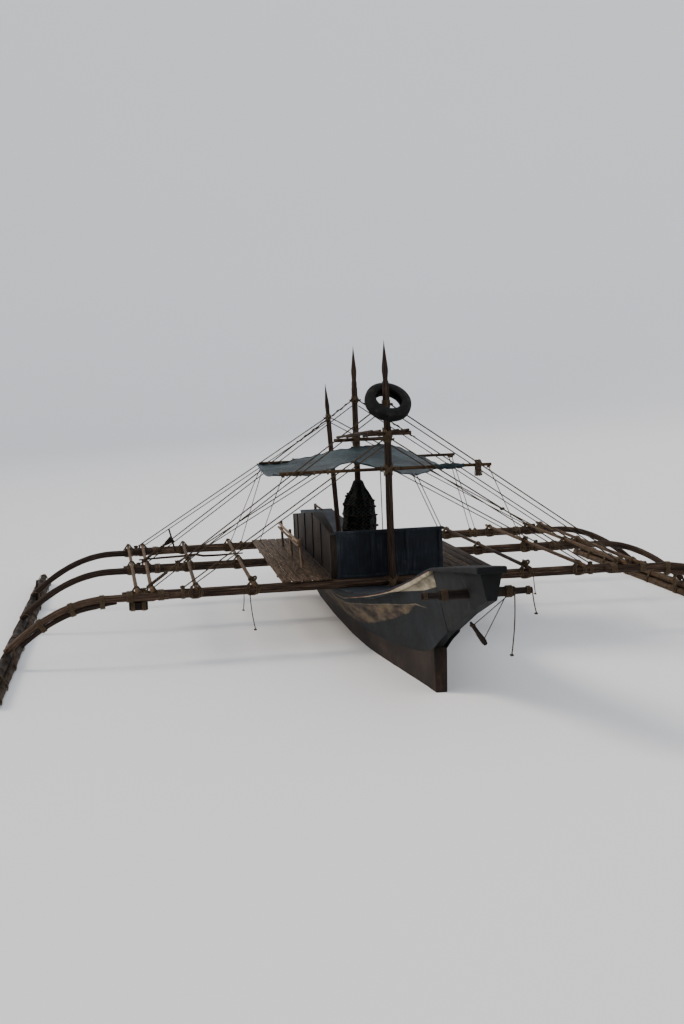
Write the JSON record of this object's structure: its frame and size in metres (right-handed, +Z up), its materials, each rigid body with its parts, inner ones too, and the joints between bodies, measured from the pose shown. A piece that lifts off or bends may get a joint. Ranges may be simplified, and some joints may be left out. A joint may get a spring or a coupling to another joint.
{
  "type": "double-outrigger canoe",
  "caption": "Wooden fishing canoe on bamboo outriggers, with stayed masts, awning, tyre fender, rudder and propeller.",
  "frame": {"origin": "amidships on the waterline, on the hull's centre plane, at the middle boom", "axes": "+Z up, -Y towards the bow, +X towards starboard"},
  "size_m": [9.318, 12.448, 4.058],
  "materials": {
    "bamboo": "dry bamboo",
    "black_paint": "old black paint on timber",
    "bronze": "tarnished bronze",
    "brown_paint": "old brown paint on a dug-out log",
    "deck_boards": "worn boards",
    "engine_iron": "cast iron",
    "fishing_net": "bunched knotted net",
    "galvanised_steel": "dull galvanised steel",
    "hull_paint": "old navy, cream and brown paint on plywood",
    "navy_paint": "old dark navy paint on plywood",
    "rope": "weathered laid rope",
    "tarpaulin": "faded blue-grey tarpaulin",
    "tyre_rubber": "old dull rubber",
    "weathered_wood": "weathered bare timber"
  },
  "bodies": {
    "hull": {"keel_log": "brown_paint", "floor_boards": "deck_boards", "side_port": "hull_paint", "side_starboard": "hull_paint", "gunwale_port": "black_paint", "gunwale_starboard": "black_paint", "stem_knee": "black_paint", "bow_block": "black_paint", "bow_cap": "black_paint", "bow_crossbeam": "weathered_wood", "stern_block": "black_paint", "foredeck": "navy_paint", "aft_deck": "navy_paint", "boom_bow": "weathered_wood", "boom_mid": "weathered_wood", "boom_aft": "weathered_wood", "arm_bow_port": "weathered_wood", "arm_bow_starboard": "weathered_wood", "arm_mid_port": "weathered_wood", "arm_mid_starboard": "weathered_wood", "arm_aft_port": "weathered_wood", "arm_aft_starboard": "weathered_wood", "float_port": "bamboo", "float_starboard": "bamboo", "long_pole_1_port": "bamboo", "long_pole_1_starboard": "bamboo", "long_pole_2_port": "bamboo", "long_pole_2_starboard": "bamboo", "long_pole_3_port": "bamboo", "long_pole_3_starboard": "bamboo", "long_pole_4_port": "bamboo", "long_pole_4_starboard": "bamboo", "side_deck_port": "deck_boards", "side_deck_starboard": "deck_boards", "front_bulkhead": "navy_paint", "side_locker": "navy_paint", "engine_box": "navy_paint", "engine_block": "engine_iron", "mast_bow": "weathered_wood", "mast_mid": "weathered_wood", "mast_aft": "weathered_wood", "spreader_bow": "bamboo", "spreader_mid": "bamboo", "awning": "tarpaulin", "overhead_rack": "weathered_wood", "tyre_fender": "tyre_rubber", "net_bundle": "fishing_net", "stay_bow_upper_port": "rope", "stay_bow_upper_starboard": "rope", "stay_bow_lower_port": "rope", "stay_bow_lower_starboard": "rope", "stay_mid_upper_port": "rope", "stay_mid_upper_starboard": "rope", "stay_mid_lower_port": "rope", "stay_mid_lower_starboard": "rope", "stay_aft_upper_port": "rope", "stay_aft_upper_starboard": "rope", "rudder_bracket": "galvanised_steel"},
    "rudder": {"rudder": "weathered_wood"},
    "propeller": {"propeller": "bronze"}
  },
  "joints": [
    {"name": "rudder_turn", "type": "hinge", "parent": "hull", "child": "rudder", "pos_m": [0, 4.72, 0.3], "axis": [0, 0, 1], "range_deg": [-35, 35]},
    {"name": "propeller_spin", "type": "hinge", "parent": "hull", "child": "propeller", "pos_m": [0, 4.375, -0.15], "axis": [0, 1, 0], "continuous": true}
  ]
}
